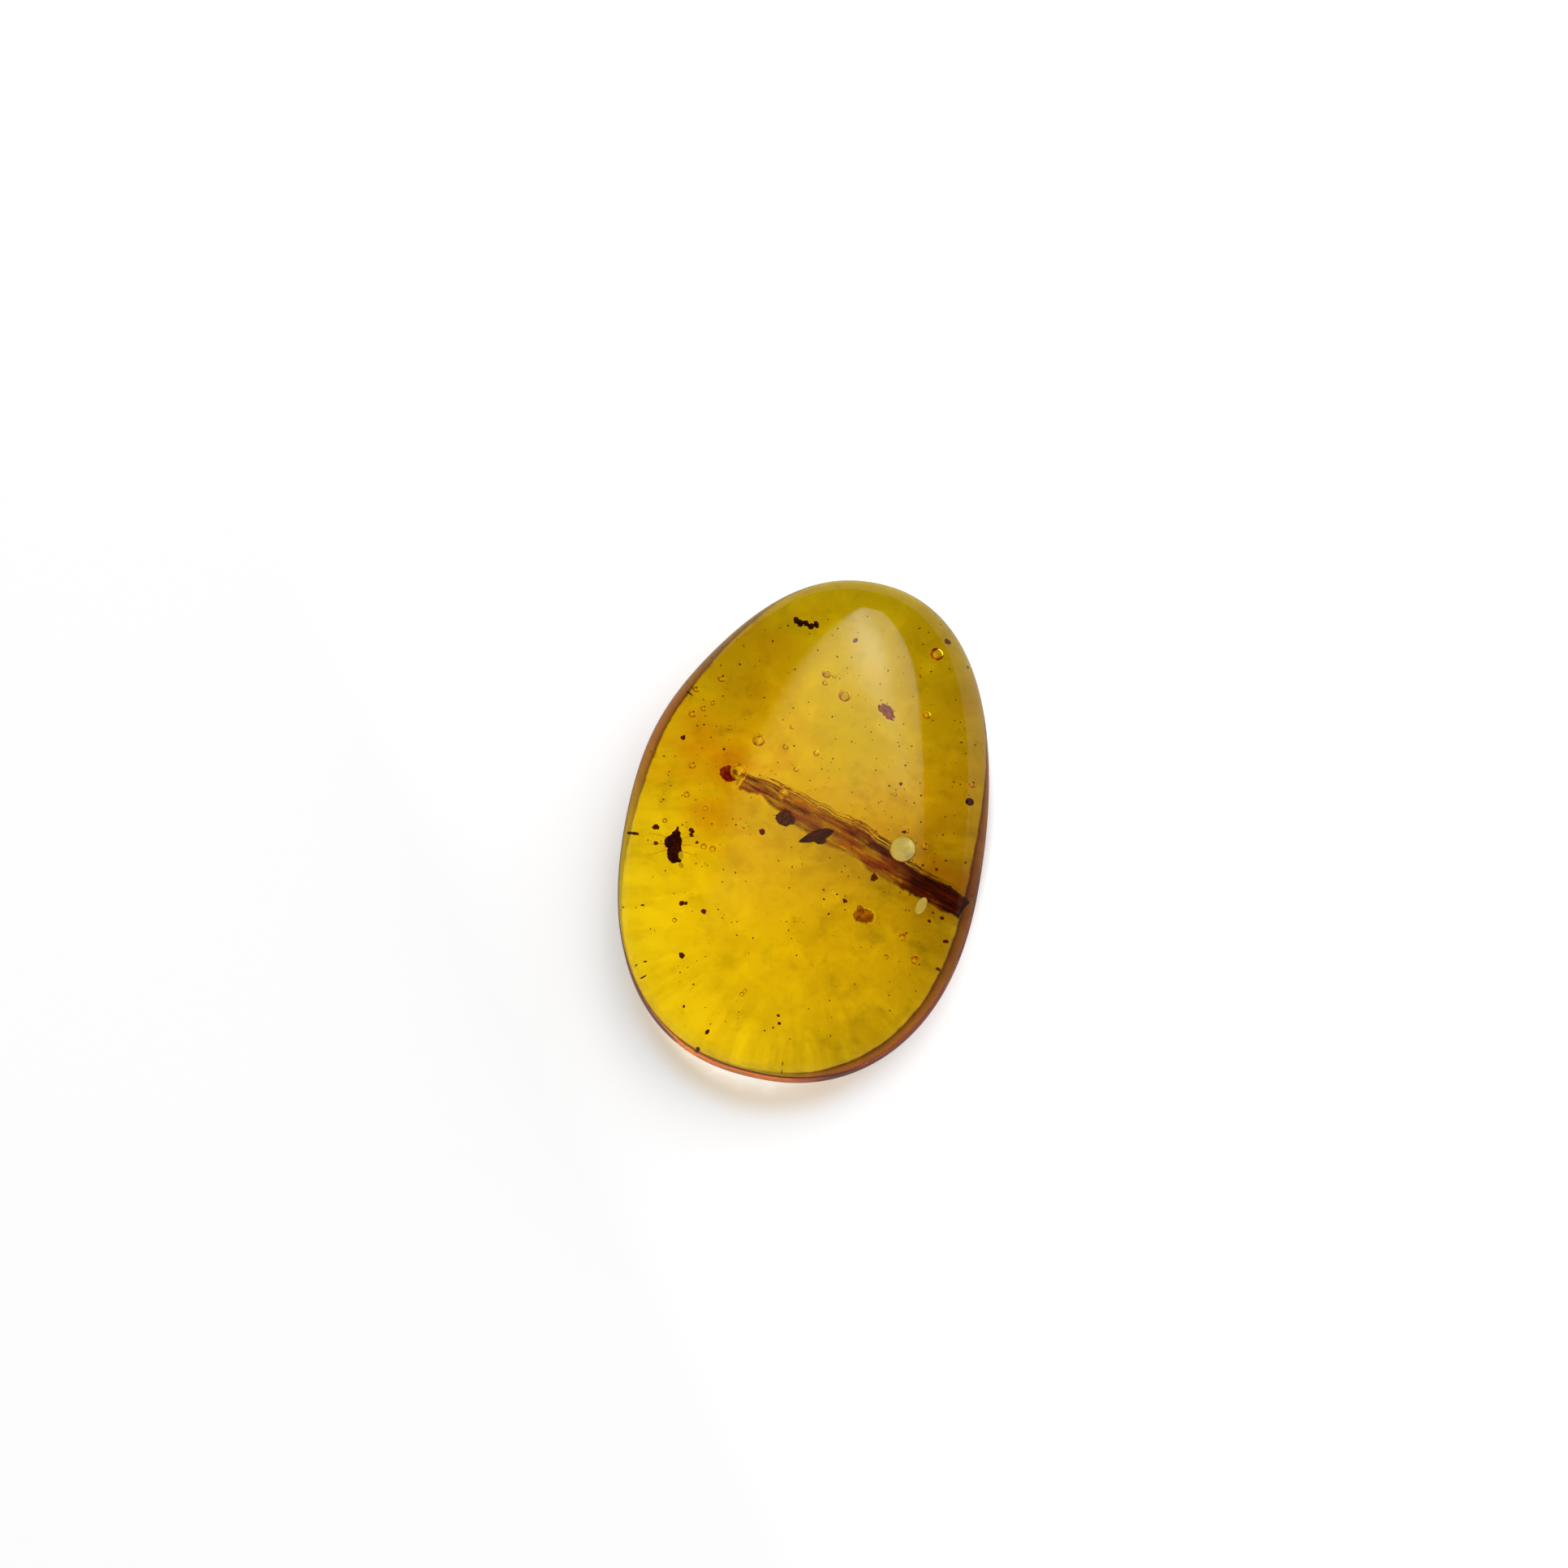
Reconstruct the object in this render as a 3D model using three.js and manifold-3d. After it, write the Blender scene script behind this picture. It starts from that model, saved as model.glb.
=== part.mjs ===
// A polished, egg-shaped piece of amber that rests on its flat underside, long axis along Y.
// A strip of plant fibre, a small beetle and crumbs of forest litter are sealed inside.
// The clear stone is parted by one level plane into an upper and a lower half,
// and each sealed thing lies in a pocket that both halves share. Millimetres, +Z up.

import * as THREE from 'three';
import { mergeVertices } from 'three/addons/utils/BufferGeometryUtils.js';
import Module from 'manifold-3d';

const wasm = await Module();
wasm.setup();

// Driving dimensions of the stone
const stoneHalfWidth = 8.82;
const stoneHalfLength = 12.76;
const stoneHeight = 6.6;
const outlineSquareness = 2.2;
const outlineLobes = [
  { count: 1, cosine: -0.012, sine: -0.0453 },
  { count: 2, cosine: 0.0078, sine: 0.0038 },
  { count: 3, cosine: -0.0155, sine: -0.021 },
  { count: 4, cosine: 0.002, sine: -0.0103 },
  { count: 5, cosine: 0, sine: 0.0092 },
];

// The rim differs on four sides: nose = front right, brow = back right, back = back left, heel = front left
const noseDirection = THREE.MathUtils.degToRad(-50);
const girdleHeight = { nose: 1.6, brow: 1.2, back: 1.4, heel: 0.9 };
const footInset = { nose: 1.0, brow: 0.5, back: 0.5, heel: 0.4 };
const domeSpread = { nose: 2.0, brow: 2.2, back: 2.4, heel: 2.4 };
const domeShoulder = { nose: 3.6, brow: 2.9, back: 7.0, heel: 7.0 };
const domeLean = 0.12;
const footLatitude = Math.PI / 3;
const stoneSegments = 64;
const stoneRings = 28;

// The plane that parts the stone, and the air left round each sealed piece
const partingHeight = 2.9;
const pocketGap = 0.3;

// Strip of plant fibre, drawn from its left end along its own axis
const strip = {
  start: new THREE.Vector2(-4.53, 1.43),
  turn: THREE.MathUtils.degToRad(-15.2),
  height: 2.8,
  thickness: 0.6,
  edgeRound: 0.14,
  upperEdge: [[0.95, 0.5], [2.4, 0.72], [5.0, 0.72], [7.3, 0.88], [8.4, 0.66], [9.6, 0.36], [11.6, 0.35], [12.7, 0.2]],
  lowerEdge: [
    [12.75, -0.83], [10.8, -0.86], [8.3, -0.8], [7.4, -0.52], [5.8, -0.72], [4.4, -0.68], [3.0, -0.42], [2.2, -0.14],
    [1.0, -0.38],
  ],
};

// Beetle, head towards +Y before it is turned; half sizes are half the width, length and height
const beetle = {
  place: new THREE.Vector3(-5.95, -2.74, 2.9),
  turn: THREE.MathUtils.degToRad(11),
  abdomen: { centre: [0.02, -0.34, 0], half: [0.35, 0.54, 0.28] },
  thorax: { centre: [0.0, 0.26, 0], half: [0.32, 0.32, 0.25] },
  head: { centre: [0.06, 0.58, -0.02], half: [0.19, 0.19, 0.16] },
  wingCase: { centre: [-0.3, 0.14, 0.1], half: [0.2, 0.3, 0.06] },
  snout: { from: [0.07, 0.66, -0.02], to: [0.12, 0.96, -0.06], root: 0.09, tip: 0.045 },
  tail: { centre: [0.26, -0.7, -0.02], half: [0.12, 0.13, 0.1] },
  hips: [0.34, 0.06, -0.2],
  hipSide: 0.22,
  kneeSide: 0.66,
  footSide: 1.16,
  kneeForward: 0.14,
  footForward: -0.06,
  hipHeight: -0.12,
  kneeHeight: 0.06,
  footHeight: -0.16,
  thighRadius: 0.05,
  shinRadius: 0.035,
};

// Dark scale and bark crumb lying on the strip
const budScale = {
  place: new THREE.Vector3(0.54, -0.63, 3.52),
  turn: THREE.MathUtils.degToRad(33),
  halfLength: 0.88,
  halfWidth: 0.27,
  thickness: 0.2,
  edgeRound: 0.05,
};
const barkCrumb = { place: new THREE.Vector3(-1.11, -0.13, 3.6), half: [0.46, 0.36, 0.2], bumps: 0.16 };

// Drop of darker resin at the left end of the strip
const resinDrop = { place: new THREE.Vector3(-4.32, 1.4, 2.9), half: [0.44, 0.4, 0.36], bumps: 0.06 };

// Chain of droppings near the narrow end, one bead after another
const frassChain = {
  place: new THREE.Vector3(-2.43, 9.42, 2.9),
  turn: THREE.MathUtils.degToRad(8),
  beads: [[-0.52, 0.08, 0.13], [-0.3, -0.02, 0.15], [-0.06, 0.02, 0.14], [0.18, -0.08, 0.15], [0.42, 0.04, 0.13]],
};

// Loose litter
const leafFlake = {
  place: new THREE.Vector3(2.21, 6.23, 2.9),
  turn: THREE.MathUtils.degToRad(-35),
  halfLength: 0.42,
  halfWidth: 0.26,
  thickness: 0.14,
  edgeRound: 0.04,
};
const woodCrumb = { place: new THREE.Vector3(3.62, -3.69, 2.9), half: [0.5, 0.36, 0.24], bumps: 0.18 };
const darkPellet = { place: new THREE.Vector3(6.76, 2.92, 2.9), half: [0.21, 0.21, 0.2], bumps: 0.05 };

// Fineness of the small round solids
const bodySegments = 10;
const bodyRings = 6;
const limbSides = 6;
const lumpDetail = 2;
const edgeSteps = 2;
const outlineSteps = 3;
const leafSteps = 8;

const materials = {
  amber: new THREE.MeshStandardMaterial({ color: 0xc8940d, roughness: 0.08, metalness: 0, transparent: true, opacity: 0.4 }),
  plant: new THREE.MeshStandardMaterial({ color: 0x6b3410, roughness: 0.75, metalness: 0 }),
  beetle: new THREE.MeshStandardMaterial({ color: 0x2a0a03, roughness: 0.45, metalness: 0 }),
  litter: new THREE.MeshStandardMaterial({ color: 0x3c1606, roughness: 0.7, metalness: 0 }),
  drop: new THREE.MeshStandardMaterial({ color: 0x7a2404, roughness: 0.2, metalness: 0 }),
};

// Closed geometry to a solid, and a solid back to a named mesh

function toSolid(geometry) {
  const bare = geometry.clone();
  bare.deleteAttribute('normal');
  bare.deleteAttribute('uv');
  const welded = mergeVertices(bare, 1e-5);
  return new wasm.Manifold(new wasm.Mesh({
    numProp: 3,
    vertProperties: new Float32Array(welded.attributes.position.array),
    triVerts: new Uint32Array(welded.index.array),
  }));
}

function toMesh(name, solid, material) {
  const { vertProperties, triVerts } = solid.getMesh();
  const geometry = new THREE.BufferGeometry();
  geometry.setAttribute('position', new THREE.BufferAttribute(vertProperties, 3));
  geometry.setIndex(new THREE.BufferAttribute(triVerts, 1));
  geometry.computeVertexNormals();
  const mesh = new THREE.Mesh(geometry, material);
  mesh.name = name;
  return mesh;
}

function join(solids) {
  return solids.reduce((whole, solid) => whole.add(solid));
}

// Reshaping a unit sphere into the stone

function outlineRadius(angle) {
  const across = Math.abs(Math.cos(angle) / stoneHalfWidth) ** outlineSquareness;
  const along = Math.abs(Math.sin(angle) / stoneHalfLength) ** outlineSquareness;
  const oval = (across + along) ** (-1 / outlineSquareness);
  const lobed = (sum, lobe) =>
    sum + lobe.cosine * Math.cos(lobe.count * angle) + lobe.sine * Math.sin(lobe.count * angle);
  return oval * outlineLobes.reduce(lobed, 1);
}

// A value that blends smoothly round the stone between its four sides
function aroundRim(angle, value) {
  const toNose = Math.cos(angle - noseDirection);
  const toBrow = Math.sin(angle - noseDirection);
  return value.nose * Math.max(0, toNose) ** 2 + value.brow * Math.max(0, toBrow) ** 2
    + value.back * Math.max(0, -toNose) ** 2 + value.heel * Math.max(0, -toBrow) ** 2;
}

// The dome is the half of the sphere above its equator, the foot and the flat underside are the rest
function stonePoint(direction) {
  const angle = Math.atan2(direction.y, direction.x);
  const latitude = Math.asin(THREE.MathUtils.clamp(direction.z, -1, 1));
  const rim = outlineRadius(angle);
  const girdle = aroundRim(angle, girdleHeight);
  const inset = aroundRim(angle, footInset);
  let radius = (rim - inset) * (latitude + Math.PI / 2) / (Math.PI / 2 - footLatitude);
  let height = 0;
  if (latitude >= 0) {
    const reach = Math.cos(latitude) ** (2 / aroundRim(angle, domeSpread));
    const rise = Math.sin(latitude) ** (2 / aroundRim(angle, domeShoulder));
    const lean = 1 + domeLean * reach * Math.sin(angle - noseDirection);
    radius = rim * reach;
    height = girdle + (stoneHeight - girdle) * rise * lean;
  } else if (latitude > -footLatitude) {
    const sweep = -latitude / footLatitude * Math.PI / 2;
    radius = rim - inset * (1 - Math.cos(sweep));
    height = girdle * (1 - Math.sin(sweep));
  }
  return new THREE.Vector3(radius * Math.cos(angle), radius * Math.sin(angle), height);
}

function makeStone() {
  const geometry = new THREE.SphereGeometry(1, stoneSegments, stoneRings).rotateX(Math.PI / 2);
  const position = geometry.attributes.position;
  const point = new THREE.Vector3();
  for (let i = 0; i < position.count; i += 1) {
    point.fromBufferAttribute(position, i);
    const placed = stonePoint(point);
    position.setXYZ(i, placed.x, placed.y, placed.z);
  }
  geometry.computeBoundingBox();
  const middle = geometry.boundingBox.getCenter(new THREE.Vector3());
  geometry.translate(-middle.x, -middle.y, 0);
  return toSolid(geometry);
}

// A block that holds everything on one side of the parting plane
function sideOfParting(isUpper) {
  const reach = 4 * stoneHalfLength;
  const block = new THREE.BoxGeometry(reach, reach, reach);
  block.translate(0, 0, partingHeight + (isUpper ? reach : -reach) / 2);
  return toSolid(block);
}

// Small shapes that the sealed pieces are made of

function placed(geometry, piece) {
  geometry.rotateZ(piece.turn ?? 0);
  geometry.translate(piece.place.x, piece.place.y, piece.place.z);
  return geometry;
}

function ellipsoid(half, centre = [0, 0, 0]) {
  return new THREE.SphereGeometry(1, bodySegments, bodyRings).scale(...half).translate(...centre);
}

function limb(from, to, rootRadius, tipRadius) {
  const start = new THREE.Vector3(...from);
  const axis = new THREE.Vector3(...to).sub(start);
  const geometry = new THREE.CylinderGeometry(tipRadius, rootRadius, axis.length(), limbSides);
  geometry.translate(0, axis.length() / 2, 0);
  const aim = new THREE.Quaternion().setFromUnitVectors(new THREE.Vector3(0, 1, 0), axis.clone().normalize());
  return geometry.applyQuaternion(aim).translate(...from);
}

// A lump whose surface swells and dips by a share of its size
function lump({ half, bumps }) {
  const geometry = new THREE.IcosahedronGeometry(1, lumpDetail);
  const position = geometry.attributes.position;
  const point = new THREE.Vector3();
  for (let i = 0; i < position.count; i += 1) {
    point.fromBufferAttribute(position, i);
    const wave = Math.sin(4 * point.x + 1) * Math.cos(5 * point.y) + Math.sin(3 * point.z + 4 * point.y);
    point.multiplyScalar(1 - bumps + bumps * wave / 2);
    position.setXYZ(i, point.x, point.y, point.z);
  }
  return geometry.scale(...half);
}

// A level plate of a drawn outline, with rounded edges, centred on its own height
function plate(shape, thickness, edgeRound, curveSegments) {
  const geometry = new THREE.ExtrudeGeometry(shape, {
    depth: thickness - 2 * edgeRound,
    bevelThickness: edgeRound,
    bevelSize: edgeRound,
    bevelOffset: -edgeRound,
    bevelSegments: edgeSteps,
    curveSegments,
  });
  return geometry.translate(0, 0, edgeRound - thickness / 2);
}

function leafOutline(halfLength, halfWidth) {
  const shape = new THREE.Shape();
  shape.moveTo(-halfLength, 0);
  shape.quadraticCurveTo(-halfLength / 4, -2 * halfWidth, halfLength, 0);
  shape.quadraticCurveTo(halfLength / 4, 2 * halfWidth, -halfLength, 0);
  return shape;
}

function stripOutline(grow) {
  const upper = strip.upperEdge.map(([along, across]) => new THREE.Vector2(along, across + grow));
  const lower = strip.lowerEdge.map(([along, across]) => new THREE.Vector2(along, across - grow));
  upper[0].x -= grow;
  lower.at(-1).x -= grow;
  upper.at(-1).x += grow;
  lower[0].x += grow;
  const shape = new THREE.Shape();
  shape.moveTo(upper[0].x, upper[0].y);
  shape.splineThru(upper.slice(1));
  shape.lineTo(lower[0].x, lower[0].y);
  shape.splineThru(lower.slice(1));
  return shape;
}

function placeStrip(geometry) {
  return geometry.rotateZ(strip.turn).translate(strip.start.x, strip.start.y, strip.height);
}

// The sealed pieces, each with the pocket that it lies in

function pocketFor(solid) {
  const { min, max } = solid.boundingBox();
  const low = new THREE.Vector3(...min);
  const high = new THREE.Vector3(...max);
  low.z = Math.min(low.z, partingHeight);
  high.z = Math.max(high.z, partingHeight);
  const half = high.clone().sub(low).divideScalar(2);
  const middle = high.add(low).divideScalar(2);
  const roomy = half.toArray().map((size) => size * Math.SQRT2 + pocketGap);
  return toSolid(ellipsoid(roomy, middle.toArray()));
}

function makeStrip() {
  const solid = toSolid(placeStrip(plate(stripOutline(0), strip.thickness, strip.edgeRound, outlineSteps)));
  const roomHeight = strip.thickness + 2 * pocketGap;
  const pocket = toSolid(placeStrip(plate(stripOutline(pocketGap), roomHeight, strip.edgeRound, outlineSteps)));
  return { name: 'plant_strip', solid, pocket, material: materials.plant };
}

function makeBeetle() {
  const pieces = [beetle.abdomen, beetle.thorax, beetle.head, beetle.wingCase, beetle.tail]
    .map(({ half, centre }) => ellipsoid(half, centre));
  const { snout } = beetle;
  pieces.push(limb(snout.from, snout.to, snout.root, snout.tip));
  for (const side of [-1, 1]) {
    beetle.hips.forEach((hip, pair) => {
      const splay = beetle.kneeForward * (1 - pair);
      const knee = [side * beetle.kneeSide, hip + splay, beetle.kneeHeight];
      const foot = [side * beetle.footSide, hip + 2 * splay + beetle.footForward, beetle.footHeight];
      pieces.push(limb([side * beetle.hipSide, hip, beetle.hipHeight], knee, beetle.thighRadius, beetle.thighRadius));
      pieces.push(limb(knee, foot, beetle.thighRadius, beetle.shinRadius));
    });
  }
  const solid = join(pieces.map((piece) => toSolid(placed(piece, beetle))));
  return { name: 'insect', solid, pocket: pocketFor(solid), material: materials.beetle };
}

function makeFrass() {
  const beads = frassChain.beads.map(([x, y, radius]) => ellipsoid([radius, radius, radius], [x, y, 0]));
  const solid = join(beads.map((bead) => toSolid(placed(bead, frassChain))));
  return { name: 'frass_chain', solid, pocket: pocketFor(solid), material: materials.litter };
}

function makeLeaf(name, leaf) {
  const outline = leafOutline(leaf.halfLength, leaf.halfWidth);
  const solid = toSolid(placed(plate(outline, leaf.thickness, leaf.edgeRound, leafSteps), leaf));
  return { name, solid, pocket: pocketFor(solid), material: materials.litter };
}

function makeLump(name, piece, material) {
  const solid = toSolid(placed(lump(piece), piece));
  return { name, solid, pocket: pocketFor(solid), material };
}

const sealed = [
  makeStrip(),
  makeBeetle(),
  makeLeaf('bud_scale', budScale),
  makeLump('bark_crumb', barkCrumb, materials.litter),
  makeLump('resin_drop', resinDrop, materials.drop),
  makeFrass(),
  makeLeaf('leaf_flake', leafFlake),
  makeLump('wood_crumb', woodCrumb, materials.litter),
  makeLump('dark_pellet', darkPellet, materials.litter),
];

const stone = makeStone();
const pockets = join(sealed.map((piece) => piece.pocket));
const upperHalf = stone.intersect(sideOfParting(true)).subtract(pockets);
const lowerHalf = stone.intersect(sideOfParting(false)).subtract(pockets);

const amberPiece = new THREE.Group();
amberPiece.add(toMesh('amber_lower', lowerHalf, materials.amber));
amberPiece.add(toMesh('amber_upper', upperHalf, materials.amber));
for (const { name, solid, material } of sealed) {
  amberPiece.add(toMesh(name, solid, material));
}

export default amberPiece;
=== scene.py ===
import random
from math import asin, atan2, cos, pi, radians, sin, sqrt

import bmesh
import bpy
from mathutils import Matrix, Vector, noise
from mathutils.bvhtree import BVHTree


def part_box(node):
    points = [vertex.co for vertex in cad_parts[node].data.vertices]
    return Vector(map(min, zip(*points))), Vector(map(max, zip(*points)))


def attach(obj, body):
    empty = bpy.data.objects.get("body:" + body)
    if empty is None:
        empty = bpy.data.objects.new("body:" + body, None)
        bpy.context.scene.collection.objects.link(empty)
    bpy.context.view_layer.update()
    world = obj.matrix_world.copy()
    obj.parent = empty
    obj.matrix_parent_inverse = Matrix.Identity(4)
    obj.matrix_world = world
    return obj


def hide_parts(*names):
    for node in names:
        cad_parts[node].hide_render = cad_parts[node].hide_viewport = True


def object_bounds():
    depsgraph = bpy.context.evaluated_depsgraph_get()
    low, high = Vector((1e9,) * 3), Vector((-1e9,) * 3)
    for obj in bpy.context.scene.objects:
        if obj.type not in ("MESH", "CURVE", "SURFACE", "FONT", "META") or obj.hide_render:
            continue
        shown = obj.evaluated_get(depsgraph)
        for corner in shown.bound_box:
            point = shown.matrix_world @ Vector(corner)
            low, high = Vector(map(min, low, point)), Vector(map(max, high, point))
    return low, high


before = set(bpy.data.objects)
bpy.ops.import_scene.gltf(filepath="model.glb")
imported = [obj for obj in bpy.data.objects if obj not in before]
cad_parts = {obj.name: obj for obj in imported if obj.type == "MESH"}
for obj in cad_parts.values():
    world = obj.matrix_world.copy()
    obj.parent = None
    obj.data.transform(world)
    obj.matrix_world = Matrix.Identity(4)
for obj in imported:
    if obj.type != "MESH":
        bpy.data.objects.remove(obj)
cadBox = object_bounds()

# everything is modelled in millimetres and scaled to metres when a piece is finished
mm = 0.001
chance = random.Random(7)
sealedGloss = 0.05                        # resin wets a sealed piece and takes nearly all its gloss

# where the photograph was taken from
photo = {
    "size": 1932,                         # pixels each way
    "azimuth": radians(14.5),
    "elevation": radians(80),
    "lens": 100,
    "sensor": 36,
    "pixelsPerMm": 24.6,
    "stoneSeenAt": (997.2, 1023.7),
    "stoneHeight": 1.4,                   # height of the outline's widest line
}


# shader maths

class Wire:
    def __init__(self, finish, socket):
        self.finish = finish
        self.socket = socket

    def maths(self, operation, *values):
        return self.finish.add("ShaderNodeMath", {"operation": operation}, dict(enumerate(values)))

    def __add__(self, other):
        return self.maths("ADD", self, other)

    __radd__ = __add__

    def __sub__(self, other):
        return self.maths("SUBTRACT", self, other)

    def __rsub__(self, other):
        return self.maths("SUBTRACT", other, self)

    def __mul__(self, other):
        return self.maths("MULTIPLY", self, other)

    __rmul__ = __mul__

    def __pow__(self, other):
        return self.maths("POWER", self, other)

    def most(self, other):
        return self.maths("MAXIMUM", self, other)

    def ease(self, start, end):           # 0 at start, 1 at end
        return self.finish.add("ShaderNodeMapRange", {"interpolation_type": "SMOOTHSTEP"}, {
            "Value": self, "From Min": start, "From Max": end})


class Finish:
    def __init__(self, owner):
        owner.use_nodes = True
        self.owner = owner
        self.tree = owner.node_tree

    def add(self, kind, settings=None, sockets=None, output=0):
        node = self.tree.nodes.new(kind)
        for key, value in (settings or {}).items():
            setattr(node, key, value)
        for key, value in (sockets or {}).items():
            self.plug(node.inputs[key], value)
        return Wire(self, node.outputs[output])

    def plug(self, socket, value):
        if isinstance(value, Wire):
            self.tree.links.new(value.socket, socket)
        else:
            socket.default_value = value

    def shade(self, values, shader="Principled BSDF"):
        for key, value in values.items():
            self.plug(self.tree.nodes[shader].inputs[key], value)

    def seal(self, values):
        self.shade({**values, "Specular IOR Level": sealedGloss})

    def absorb(self, shares, density):    # even absorption all through a clear piece
        left = tone(*[1 - share for share in shares])
        volume = self.add("ShaderNodeVolumeAbsorption", sockets={"Color": left, "Density": density})
        self.plug(self.tree.nodes["Material Output"].inputs["Volume"], volume)

    def vectors(self, operation, first, second, output=0):
        return self.add("ShaderNodeVectorMath", {"operation": operation}, {0: first, 1: second}, output)

    def spot(self, turn=0.0, centre=(0, 0, 0), stretch=(1, 1, 1)):   # millimetres along turned axes
        place = self.add("ShaderNodeTexCoord", output="Object")
        fromCentre = self.vectors("SUBTRACT", place, Vector(centre) * mm)
        turned = self.add("ShaderNodeMapping", {"vector_type": "POINT"}, {
            "Vector": fromCentre, "Rotation": (0, 0, -turn), "Scale": [1 / mm] * 3})
        return self.vectors("MULTIPLY", turned, stretch)

    def split(self, vector):
        node = self.add("ShaderNodeSeparateXYZ", sockets={0: vector}).socket.node
        return [Wire(self, socket) for socket in node.outputs]

    def cloud(self, vector, scale, detail=3.0, rough=0.5, swirl=0.0):
        return self.add("ShaderNodeTexNoise", sockets={
            "Vector": vector, "Scale": scale, "Detail": detail, "Roughness": rough, "Distortion": swirl})

    def blend(self, share, first, second):
        return self.add("ShaderNodeMix", {"data_type": "RGBA"}, {0: share, 6: first, 7: second}, 2)

    def bump(self, height, strength, distance):
        return self.add("ShaderNodeBump", sockets={
            "Height": height, "Strength": strength, "Distance": distance * mm})

    def carried(self, name):              # a value kept on the mesh
        return self.add("ShaderNodeAttribute", {"attribute_name": name}, output="Fac")


def newFinish(name):
    return Finish(bpy.data.materials.new(name))


def tone(red, green, blue):
    return (red, green, blue, 1)


# modelling helpers

def turnAbout(angle, axis="Z"):
    return Matrix.Rotation(angle, 4, axis)


def addBall(bm, centre, half, turn=None, fine=3):
    place = Matrix.Translation(centre) @ (turn or Matrix()) @ Matrix.Diagonal((*half, 1))
    return bmesh.ops.create_icosphere(bm, subdivisions=fine, radius=1, matrix=place)["verts"]


def addLimb(bm, start, end, startRadius, endRadius, sides=10):
    start, end = Vector(start), Vector(end)
    axis = end - start
    place = Matrix.Translation((start + end) / 2) @ axis.to_track_quat("Z", "Y").to_matrix().to_4x4()
    made = bmesh.ops.create_cone(bm, cap_ends=True, segments=sides, radius1=startRadius, radius2=endRadius,
                                 depth=axis.length, matrix=place)
    return made["verts"]


def pour(bm, part):                       # adds a small mesh to a larger one
    mesh = bpy.data.meshes.new("part")
    part.to_mesh(mesh)
    part.free()
    bm.from_mesh(mesh)
    bpy.data.meshes.remove(mesh)


def addThread(bm, points, radius, tip=0.4, sides=5):
    part = bmesh.new()
    first = points[1] - points[0]
    place = Matrix.Translation(points[0]) @ first.to_track_quat("Z", "Y").to_matrix().to_4x4()
    ring = bmesh.ops.create_circle(part, cap_ends=True, segments=sides, radius=radius, matrix=place)["verts"]
    edges = list(dict.fromkeys(edge for vert in ring for edge in vert.link_edges))
    thin = 1 - (1 - tip) / (len(points) - 1)
    for step in range(1, len(points)):
        made = bmesh.ops.extrude_edge_only(part, edges=edges)["geom"]
        ring = [one for one in made if isinstance(one, bmesh.types.BMVert)]
        edges = [one for one in made if isinstance(one, bmesh.types.BMEdge) and set(one.verts) <= set(ring)]
        bmesh.ops.translate(part, verts=ring, vec=points[step] - points[step - 1])
        bmesh.ops.scale(part, vec=(thin,) * 3, verts=ring, space=Matrix.Translation(-points[step]))
    bmesh.ops.holes_fill(part, edges=edges, sides=0)
    pour(bm, part)


def roughen(verts, centre, depth, scale, seed, layers=4):
    for vert in verts:
        out = (vert.co - Vector(centre)).normalized()
        vert.co += out * depth * noise.fractal(vert.co * scale + Vector((seed, 0, 0)), 1.0, 2.0, layers)


def middleOf(bm):
    spots = [vert.co for vert in bm.verts]
    return Vector([(min(spot[axis] for spot in spots) + max(spot[axis] for spot in spots)) / 2
                   for axis in range(3)])


def seat(bm, node):                       # moves the mesh's box to the middle of the node's box
    low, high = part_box(node)
    bmesh.ops.translate(bm, verts=bm.verts, vec=(low + high) / 2 / mm - middleOf(bm))


def makePiece(name, bm, material, slotName, *nodes):
    bmesh.ops.scale(bm, vec=(mm, mm, mm), verts=bm.verts)
    mesh = bpy.data.meshes.new(name)
    bm.to_mesh(mesh)
    bm.free()
    mesh.shade_smooth()
    mesh.materials.append(material)
    piece = bpy.data.objects.new(name, mesh)
    bpy.context.collection.objects.link(piece)
    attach(piece, "root")
    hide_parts(*nodes)
    print(name, "has", len(mesh.polygons), "faces and stands for", nodes)


# the camera comes first, because bubbles and specks are placed along its lines of sight

right = Vector((cos(photo["azimuth"]), sin(photo["azimuth"]), 0))
inward = Vector((-sin(photo["azimuth"]), cos(photo["azimuth"]), 0))
towardCamera = -inward * cos(photo["elevation"]) + Vector((0, 0, sin(photo["elevation"])))
upward = towardCamera.cross(right)
offAcross, offDown = [place - photo["size"] / 2 for place in photo["stoneSeenAt"]]
aim = Vector((0, 0, photo["stoneHeight"])) + (upward * offDown - right * offAcross) / photo["pixelsPerMm"]
distance = photo["size"] / photo["pixelsPerMm"] * photo["lens"] / photo["sensor"]
eye = aim + towardCamera * distance


def placeCamera():
    data = bpy.data.cameras.new("photoCamera")
    data.lens = photo["lens"]
    data.sensor_width = photo["sensor"]
    data.clip_start = mm
    camera = bpy.data.objects.new("photoCamera", data)
    bpy.context.collection.objects.link(camera)
    camera.location = eye * mm
    camera.rotation_euler = towardCamera.to_track_quat("Z", "Y").to_euler()
    bpy.context.scene.camera = camera
    print("camera", round(distance), "mm away")


def sightLine(across, down):
    pixel = photo["sensor"] / photo["size"]
    half = photo["size"] / 2
    onSensor = right * (across - half) * pixel + upward * (half - down) * pixel
    return (onSensor - towardCamera * photo["lens"]).normalized()


placeCamera()


# the clear stone

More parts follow.
